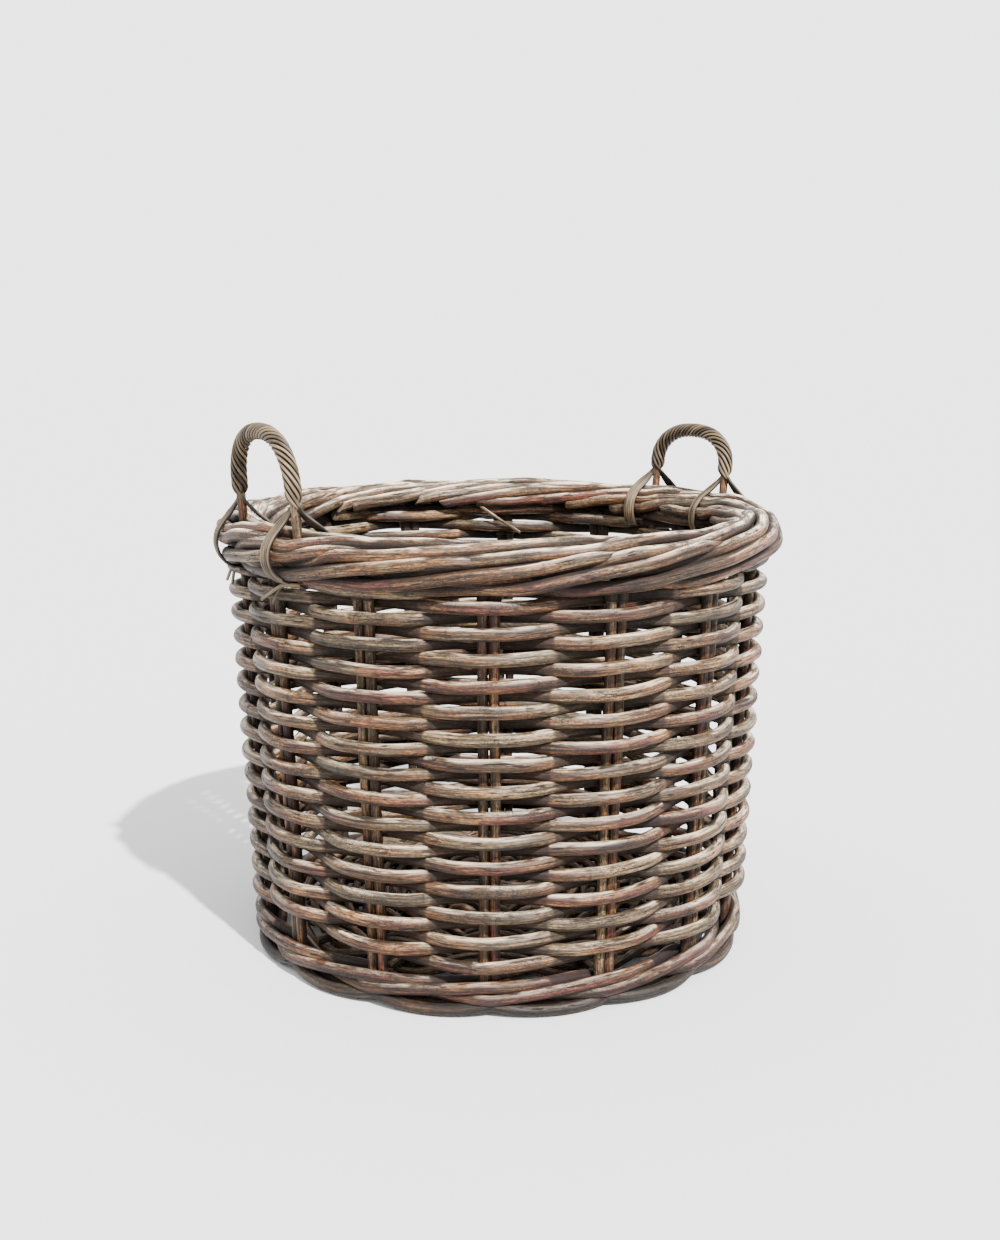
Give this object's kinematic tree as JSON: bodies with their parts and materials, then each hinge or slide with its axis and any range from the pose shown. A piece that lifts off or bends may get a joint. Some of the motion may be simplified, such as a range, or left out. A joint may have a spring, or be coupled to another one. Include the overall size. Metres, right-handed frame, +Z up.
{
  "type": "wicker log basket",
  "caption": "Round open basket of woven rods for firewood, with flared walls, a rolled rope-like border, a woven base and two roped hoop handles on the rim.",
  "frame": {"origin": "on the basket's axis at the floor, under the middle of the base", "axes": "+Z up through the open mouth; the two handles stand on +X and -X; +Y is square to the line through the handles"},
  "size_m": [0.5456, 0.544, 0.4992],
  "materials": {
    "stake": "matt bark, grey brown, bleached on the border's crown",
    "weaver": "matt bark, grey tan to warm brown from rod to rod",
    "wale": "matt bark, reddish brown",
    "foot": "dark matt bark",
    "base": "matt bark",
    "handle_core": "matt bark",
    "cane": "smooth thin cane, slightly satin"
  },
  "bodies": {
    "root": {"stake_01_left": "stake", "stake_01_right": "stake", "stake_02_left": "stake", "stake_02_right": "stake", "stake_03_left": "stake", "stake_03_right": "stake", "stake_04_left": "stake", "stake_04_right": "stake", "stake_05_left": "stake", "stake_05_right": "stake", "stake_06_left": "stake", "stake_06_right": "stake", "stake_07_left": "stake", "stake_07_right": "stake", "stake_08_left": "stake", "stake_08_right": "stake", "stake_09_left": "stake", "stake_09_right": "stake", "stake_10_left": "stake", "stake_10_right": "stake", "stake_11_left": "stake", "stake_11_right": "stake", "stake_12_left": "stake", "stake_12_right": "stake", "stake_13_left": "stake", "stake_13_right": "stake", "stake_14_left": "stake", "stake_14_right": "stake", "weaver_01": "weaver", "weaver_02": "weaver", "weaver_03": "weaver", "weaver_04": "weaver", "weaver_05": "weaver", "weaver_06": "weaver", "weaver_07": "weaver", "weaver_08": "weaver", "weaver_09": "weaver", "weaver_10": "weaver", "wale_rod_1": "wale", "wale_rod_2": "wale", "wale_rod_3": "wale", "foot_rod_outer": "foot", "foot_rod_inner": "foot", "base_stick_1": "base", "base_stick_2": "base", "base_stick_3": "base", "base_stick_4": "base", "base_stick_5": "base", "base_stick_6": "base", "base_stick_7": "base", "base_weaver_1": "base", "base_weaver_2": "base", "handle_bow_right": "handle_core", "handle_bow_left": "handle_core", "handle_wrap_right": "cane", "handle_wrap_left": "cane", "handle_binding_right_front": "cane", "handle_binding_right_back": "cane", "handle_binding_left_back": "cane", "handle_binding_left_front": "cane"}
  },
  "joints": []
}
